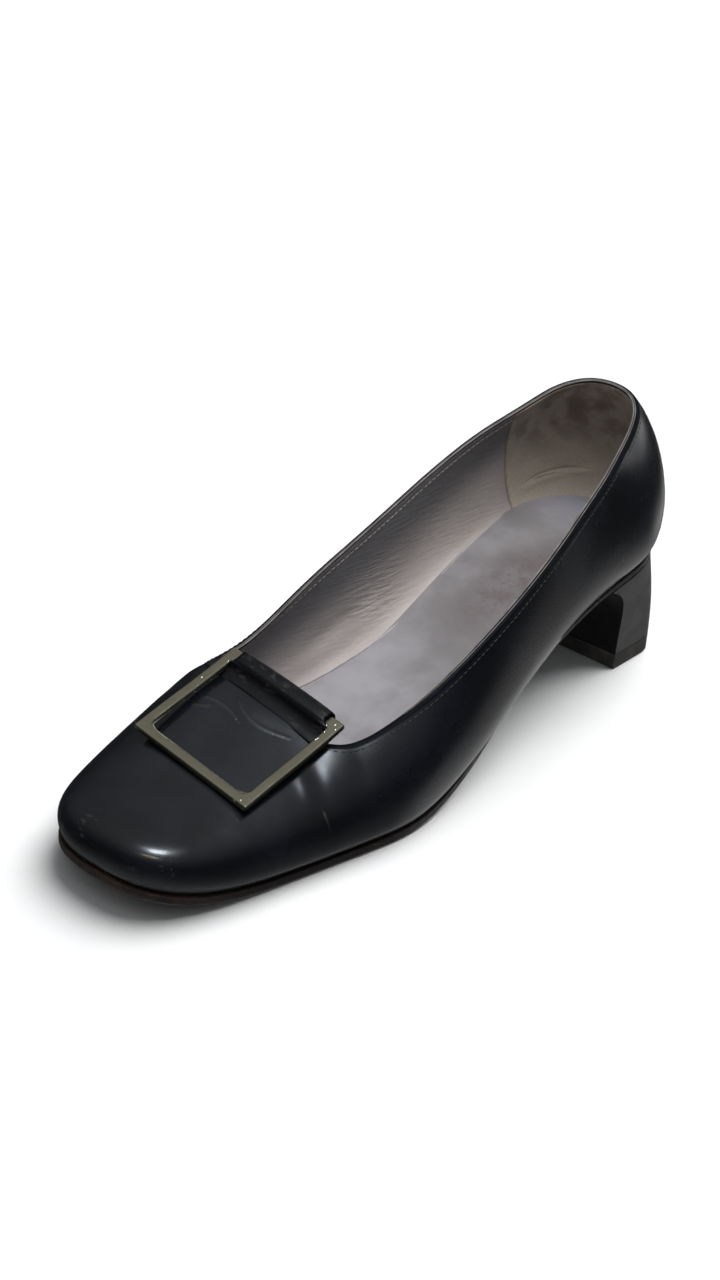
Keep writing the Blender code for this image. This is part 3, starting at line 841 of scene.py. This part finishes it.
place = place_on(tree)
high = ramp(tree, axes_of(tree, place)["Z"], *SUEDE_SHADE_RUN)
nap = use(tree, cloud, **{"Size mm": 0.35})["Value"]
dapple = use(tree, cloud, **{"Size mm": 9.0})["Value"]
top_shade = sums(tree, "MULTIPLY", high, between(tree, dapple, 0.55, 1.0))
colour = blend(tree, top_shade, SUEDE_TAN, SUEDE_BROWN)
colour = blend(tree, share_of(tree, nap, 0.3), colour, SUEDE_BROWN)
relief = share_of(tree, nap, 0.08)
suede_skin = skin_of(heel_grip.data, faces_of(heel_grip.data, 0))
for path, width, height in GRIP_LINES:
    wrinkle = drawn(tree, suede_skin, path, width, height)
    relief = sums(tree, "SUBTRACT", relief, wrinkle)
    # The wrinkles' grooves are painted browner: painted shade.
    colour = blend(tree, ramp(tree, wrinkle, 0.0, height, 0.0, 0.6), colour, SUEDE_BROWN)
lay(tree, shader, colour, between(tree, nap, *SUEDE_DULL), relief, depth=1.0)
set_on(heel_grip, None)

# Sock: the lilac-grey kid insole that the foot stands on, glued in last over the lasting board.
# Its edge is pared thin against the lining, it is dished at the heel, and the seat is rubbed and stained.
SOCK_REACH = 1.2
SOCK_TURN = 40
SOCK_PRESS = 1.5
SOCK_EDGE = 0.32
SOCK_EDGE_INSET = 0.1
SOCK_DISH = 0.8
DISH_FROM = 45.0
DISH_RUN = 20.0
WALL_START = 4.0
WALL_LEVEL = 0.3
WALL_SEARCH = 14.0
SOCK_LILAC = (0.335, 0.325, 0.345, 1.0)
SOCK_SHADE = (0.23, 0.22, 0.23, 1.0)
SOCK_STAIN = (0.115, 0.085, 0.078, 1.0)
SOCK_RUBBED = (0.125, 0.112, 0.112, 1.0)
SOCK_HEEL_HIGHLIGHT = (0.36, 0.36, 0.43, 1.0)
SOCK_HIGHLIGHT_RUN = (0.096, 0.113)
SOCK_EDGE_HIGHLIGHT = (0.46, 0.44, 0.45, 1.0)
SOCK_EDGE_SHADE = (0.36, 0.34, 0.34, 1.0)
SOCK_DULL = (0.46, 0.6)
SOCK_EDGE_DULL = (0.5, 0.65)
STAIN_MIDDLE = (-0.001, 0.062, 0.033)
STAIN_SPREAD = (52.0, 30.0, 0.0)

sock = blank_from("insole", "sock")
bpy.ops.object.mode_set(mode="EDIT")
select_sharp(SOCK_TURN)
bpy.ops.mesh.mark_seam()
bpy.ops.object.mode_set(mode="OBJECT")
spots, facing = places(sock.data)
sock_rim = max(seam_rings(sock.data), key=lambda ring: spots[ring][:, 2].mean())
kid_skin = skin_of(mesh, kid_faces)


def to_wall(spot, away):
    """Where the lining stands level with the sock, straight out from a place near the sock's rim."""
    start = Vector(spot) - away * WALL_START * MM + Vector((0.0, 0.0, WALL_LEVEL * MM))
    return kid_skin.ray_cast(start, away, WALL_SEARCH * MM)[0] or Vector(spot)


meeting = []
for spot, normal in zip(spots[sock_rim], facing[sock_rim]):
    meeting.append(to_wall(spot, Vector((*normal[:2], 0.0)).normalized()))
rim_ring = evened(spots[sock_rim], RING_POINTS)[0]
ahead = np.roll(rim_ring, -1, axis=0) - np.roll(rim_ring, 1, axis=0)
turning = np.sign(np.sum(rim_ring[:, 0] * ahead[:, 1] - rim_ring[:, 1] * ahead[:, 0]))
edge_ring = []
for spot, along in zip(rim_ring, ahead):
    away = Vector((along[1], -along[0], 0.0)).normalized() * turning
    edge_ring.append(to_wall(spot, away) - away * SOCK_EDGE_INSET * MM)
outward = facing * np.array([1.0, 1.0, 0.0])
outward /= np.linalg.norm(outward, axis=1)[:, None]
station = HEEL_BACK_Y - spots[:, 1] / MM
spots[sock_rim, :2] = np.array(meeting)[:, :2] - outward[sock_rim, :2] * SOCK_REACH * MM
spots += outward * SOCK_REACH * MM * SOCK_PRESS
spots[:, 2] += SOCK_DISH * MM * np.clip((DISH_FROM - station) / DISH_RUN, 0, 1) * (facing[:, 2] > 0)
sock.data.vertices.foreach_set("co", spots.ravel())
soften(sock, angle=SOCK_TURN, width=0.5, segments=2, levels=2)
tree, shader = finish_on(sock, "kid_sock", Specular_IOR_Level=0.15)
place = place_on(tree)
skin = use(tree, grain, **{"Pore mm": 0.3})
axes = axes_of(tree, place)
dapple = use(tree, cloud, **{"Size mm": 25.0})["Value"]
speck = use(tree, cloud, **{"Size mm": 7.0, "Low": 0.3, "High": 0.75})["Value"]
offset = vectors(tree, "SUBTRACT", place, STAIN_MIDDLE)
flat = vectors(tree, "MULTIPLY", offset, STAIN_SPREAD)
away = vectors(tree, "DISTANCE", flat, (0.0, 0.0, 0.0))
zone = ramp(tree, away, 1.0, 0.1)
fleck = use(tree, cloud, **{"Size mm": 1.6, "Low": 0.5, "High": 0.62})["Value"]
colour = blend(tree, dapple, SOCK_LILAC, SOCK_SHADE)
colour = blend(tree, ramp(tree, away, 1.9, 0.2, 0.0, 0.6), colour, SOCK_RUBBED)
# The sock's heel end is painted paler: painted highlight.
colour = blend(tree, ramp(tree, axes["Y"], *SOCK_HIGHLIGHT_RUN, 0.0, 0.7), colour, SOCK_HEEL_HIGHLIGHT)
colour = blend(tree, share_of(tree, sums(tree, "MULTIPLY", zone, speck), 0.6), colour, SOCK_STAIN)
colour = blend(tree, share_of(tree, sums(tree, "MULTIPLY", zone, fleck), 0.35), colour, SOCK_STAIN)
lay(tree, shader, colour, between(tree, dapple, *SOCK_DULL), skin["Height"], depth=0.06)
set_on(sock, "insole")
sock_edge = cord_along("sock_edge", evened(np.array(edge_ring), RING_POINTS)[0], SOCK_EDGE)
tree, shader = finish_on(sock_edge, "pared_sock_edge", Specular_IOR_Level=0.3)
dapple = use(tree, cloud, **{"Size mm": 4.0})["Value"]
# The edge cord is paler than the sock, a thin light line along its rim: painted highlight.
colour = blend(tree, dapple, SOCK_EDGE_HIGHLIGHT, SOCK_EDGE_SHADE)
lay(tree, shader, colour, between(tree, dapple, *SOCK_EDGE_DULL), dapple, depth=0.05)
set_on(sock_edge, None)

# Buckle: a square frame bent from flat brass bar, plated pale gold and polished, its corners mitred.
# The plating is scratched, pitted at the corners and has gone dull olive.
PLATE_GOLD = (0.40, 0.375, 0.27, 1.0)
PLATE_OLIVE = (0.29, 0.27, 0.19, 1.0)
PIT_SILVER = (0.95, 0.95, 0.92, 1.0)
PLATE_DULL = (0.18, 0.27)
PIT_PITCH = 1.7
PITTED_CORNERS = ((0.021, -0.052, 9.0), (0.021, -0.086, 6.0), (-0.020, -0.062, 4.0))

metal_buckle = blank_from("buckle_frame", "metal_buckle")
soften(metal_buckle, angle=30, width=0.3, segments=2, levels=2)
tree, shader = finish_on(metal_buckle, "plated_brass", Metallic=1.0)
place = place_on(tree)
plan = vectors(tree, "MULTIPLY", place, (1.0, 1.0, 0.0))
corner = 0.0
for x, y, reach in PITTED_CORNERS:
    away = vectors(tree, "DISTANCE", plan, (x, y, 0.0))
    corner = sums(tree, "MAXIMUM", corner, ramp(tree, away, reach * MM, 0.7 * reach * MM))
cells = add(tree, "ShaderNodeTexVoronoi", {"Vector": place, "Scale": 1.0 / (PIT_PITCH * MM)})
dot = ramp(tree, cells.outputs["Distance"], 0.3, 0.14)
chosen = ramp(tree, axes_of(tree, cells.outputs["Color"])["X"], 0.45, 0.5)
pit = sums(tree, "MULTIPLY", sums(tree, "MULTIPLY", dot, chosen), corner)
rub = use(tree, marks, **{"Size mm": 0.7, "Amount": 0.8})
dapple = use(tree, cloud, **{"Size mm": 3.0})["Value"]
colour = blend(tree, dapple, PLATE_GOLD, PLATE_OLIVE)
colour = blend(tree, pit, colour, PIT_SILVER)
relief = sums(tree, "ADD", share_of(tree, rub["Height"], 0.006), share_of(tree, pit, 0.12))
lay(tree, shader, colour, between(tree, dapple, *PLATE_DULL), relief, depth=1.0)
set_on(metal_buckle, "buckle_frame")

# Buckle roll: a strip of the upper's calf, rolled round the frame's rear bar and fixed at the vamp's throat.
# It is rubbed along its crown, and its tab is pressed down on the vamp.
ROLL_BLACK = (0.004, 0.0042, 0.005, 1.0)
ROLL_DULL = (0.36, 0.5)
TAB_PRESS = 1.3
TAB_ROOT = 174.6
TAB_RUN = 6.0
TAB_SPREAD = 2.2
ROLL_REACH = 0.9

buckle_roll = blank_from("buckle_loop", "buckle_roll")
spots, facing = places(buckle_roll.data)
station = HEEL_BACK_Y - spots[:, 1] / MM
half = np.abs(spots[:, 0]).max()
spots[:, 0] *= 1 + np.where(station > TAB_ROOT, TAB_SPREAD, ROLL_REACH) * MM / half
spots[:, 2] -= TAB_PRESS * MM * np.clip((station - TAB_ROOT) / TAB_RUN, 0, 1)
buckle_roll.data.vertices.foreach_set("co", spots.ravel())
refine(buckle_roll, 2)
tree, shader = finish_on(buckle_roll, "rubbed_calf_roll", Specular_IOR_Level=0.2)
skin = use(tree, grain, **{"Pore mm": 0.3, "Wave mm": 4.0})
rub = use(tree, marks, **{"Size mm": 0.9, "Amount": 0.75})
colour = blend(tree, share_of(tree, rub["Mask"], 0.18), ROLL_BLACK, CALF_SCUFF_AND_GLEAM)
lay(tree, shader, colour, between(tree, rub["Mask"], *ROLL_DULL), skin["Height"], depth=0.05)
set_on(buckle_roll, "buckle_loop")

# Floor: a wide sheet of white studio paper under the shoe, a hair below it.
# It is matt, with a faint unevenness.
PAPER_RADIUS = 6.0
PAPER_DROP = 0.0002
PAPER_WHITE = (0.93, 0.93, 0.935, 1.0)
PAPER_PALE = (0.94, 0.94, 0.94, 1.0)

bpy.ops.object.select_all(action="DESELECT")
level = (0.0, 0.0, -PAPER_DROP)
bpy.ops.mesh.primitive_circle_add(vertices=96, radius=PAPER_RADIUS, fill_type="NGON", location=level)
floor = bpy.context.object
floor.name = "studio_paper"
bpy.ops.object.transform_apply(location=True, rotation=True, scale=True)
tree, shader = finish_on(floor, "white_paper", Roughness=0.9, Specular_IOR_Level=0.1)
tooth = use(tree, cloud, **{"Size mm": 30.0})["Value"]
tree.links.new(blend(tree, tooth, PAPER_WHITE, PAPER_PALE), shader.inputs["Base Color"])

# Light: one wide softbox for the shoe and one for the paper, in a dim room that the polish mirrors.
# The polish also mirrors a pale wall behind the shoe, pale ground behind and beside it, and two small lamps.
SHOE_MIDDLE = Vector((0.0, 0.0, 0.03))
SOFTBOX_POWER = 3.1
SOFTBOX_SPREAD = 46
LAMP_DISTANCE = 1.3
BACKDROP = (1.0, 1.0, 1.0, 1.0)
ROOM_TINT = (0.95, 0.98, 1.0)

# The room's tones, each at its height: 0 is straight down and 1 is straight up.
ROOM_TONES = (
    (0.0, 0.27), (0.14, 0.11), (0.32, 0.025), (0.54, 0.025),
    (0.72, 0.12), (0.88, 0.26), (1.0, 0.35),
)

# The room's pale places: strength, and where they fade in by the height and the depth of their direction.
BACK_WALL = (1.4, (0.0, 0.14), (0.72, 0.9))
BACK_GROUND = (0.7, (-0.24, -0.46), (0.85, 0.93))
SIDE_GROUND = (0.42, (-0.35, -0.66), (0.45, 0.7))

scene.view_settings.view_transform = "Standard"
world = bpy.data.worlds.new("studio_room")
world.use_nodes = True
tree = world.node_tree
heading = add(tree, "ShaderNodeTexCoord").outputs["Generated"]
axes = axes_of(tree, heading)
rise = sums(tree, "MULTIPLY", sums(tree, "ADD", axes["Z"], 1.0), 0.5)
tones = add(tree, "ShaderNodeValToRGB", {0: rise})
while len(tones.color_ramp.elements) < len(ROOM_TONES):
    tones.color_ramp.elements.new(0.5)
for stop, (where, tone) in zip(tones.color_ramp.elements, ROOM_TONES):
    stop.position = where
    stop.color = (*(tone * tint for tint in ROOM_TINT), 1.0)
light = tones.outputs[0]
for strength, by_height, by_depth in (BACK_WALL, BACK_GROUND, SIDE_GROUND):
    pale = ramp(tree, axes["Z"], *by_height, 0.0, strength)
    pale = sums(tree, "MULTIPLY", pale, ramp(tree, axes["Y"], *by_depth))
    light = vectors(tree, "ADD", light, pale)
seen = add(tree, "ShaderNodeLightPath").outputs["Is Camera Ray"]
tree.links.new(blend(tree, seen, light, BACKDROP), tree.nodes["Background"].inputs["Color"])
scene.world = world
floor.visible_glossy = False


def hang(name, data, towards, distance):
    """Hangs a light in the given direction from the shoe, shining at it."""
    light = bpy.data.objects.new(name, data)
    towards = Vector(towards).normalized()
    light.location = SHOE_MIDDLE + towards * distance
    light.rotation_euler = towards.to_track_quat("Z", "Y").to_euler()
    scene.collection.objects.link(light)
    return light


def lamp(name, towards, size, power, colour):
    """A small lamp that shows only as a mirrored spot in the polish."""
    data = bpy.data.lights.new(name, "AREA")
    data.shape = "RECTANGLE"
    data.size, data.size_y = size
    data.energy = power
    data.color = colour
    hang(name, data, towards, LAMP_DISTANCE).visible_diffuse = False


def softbox(name, towards, link_state):
    """A wide soft light that takes in only the paper or leaves only it out. The polish does not mirror it."""
    data = bpy.data.lights.new(name, "SUN")
    data.energy = SOFTBOX_POWER
    data.angle = radians(SOFTBOX_SPREAD)
    light = hang(name, data, towards, LAMP_DISTANCE)
    light.visible_glossy = False
    paper = bpy.data.collections.new(name + "_paper")
    paper.objects.link(floor)
    light.light_linking.receiver_collection = paper
    paper.collection_objects[0].light_linking.link_state = link_state


softbox("shoe_softbox", (0.17, -0.09, 0.97), "EXCLUDE")
softbox("paper_softbox", (0.1, 0.42, 0.9), "INCLUDE")
lamp("spot_lamp", (0.12, -0.12, 0.985), (0.36, 0.34), 10.2, (0.84, 0.92, 1.0))
lamp("warm_lamp", (0.3, -0.6, 0.76), (0.45, 0.08), 1.5, (1.0, 0.88, 0.74))

# Camera: it stands where the photograph's camera stood, at the same angle to the shoe, with its small roll.
# It is turned to the middle of the shoe.
CAMERA_AZIMUTH, CAMERA_ELEVATION, CAMERA_ROLL = radians(39.426), radians(29.625), radians(3.929)
CAMERA_DISTANCE = 0.68162
CAMERA_AIM = Vector((-0.00919, -0.0045, 0.035))
CAMERA_LENS = 62.0
CAMERA_SENSOR = 36.0
CAMERA_NEAR = 0.01

back = Vector((
    sin(CAMERA_AZIMUTH) * cos(CAMERA_ELEVATION),
    -cos(CAMERA_AZIMUTH) * cos(CAMERA_ELEVATION),
    sin(CAMERA_ELEVATION),
))
level = Vector((cos(CAMERA_AZIMUTH), sin(CAMERA_AZIMUTH), 0.0))
upright = back.cross(level)
right = level * cos(CAMERA_ROLL) + upright * sin(CAMERA_ROLL)
up = upright * cos(CAMERA_ROLL) - level * sin(CAMERA_ROLL)
lens = bpy.data.cameras.new("camera")
lens.lens = CAMERA_LENS
lens.sensor_width = CAMERA_SENSOR
lens.clip_start = CAMERA_NEAR
camera = bpy.data.objects.new("camera", lens)
stand = Matrix.Translation(CAMERA_AIM + back * CAMERA_DISTANCE)
camera.matrix_world = stand @ Matrix((right, up, back)).transposed().to_4x4()
scene.collection.objects.link(camera)
scene.camera = camera

bpy.context.view_layer.update()
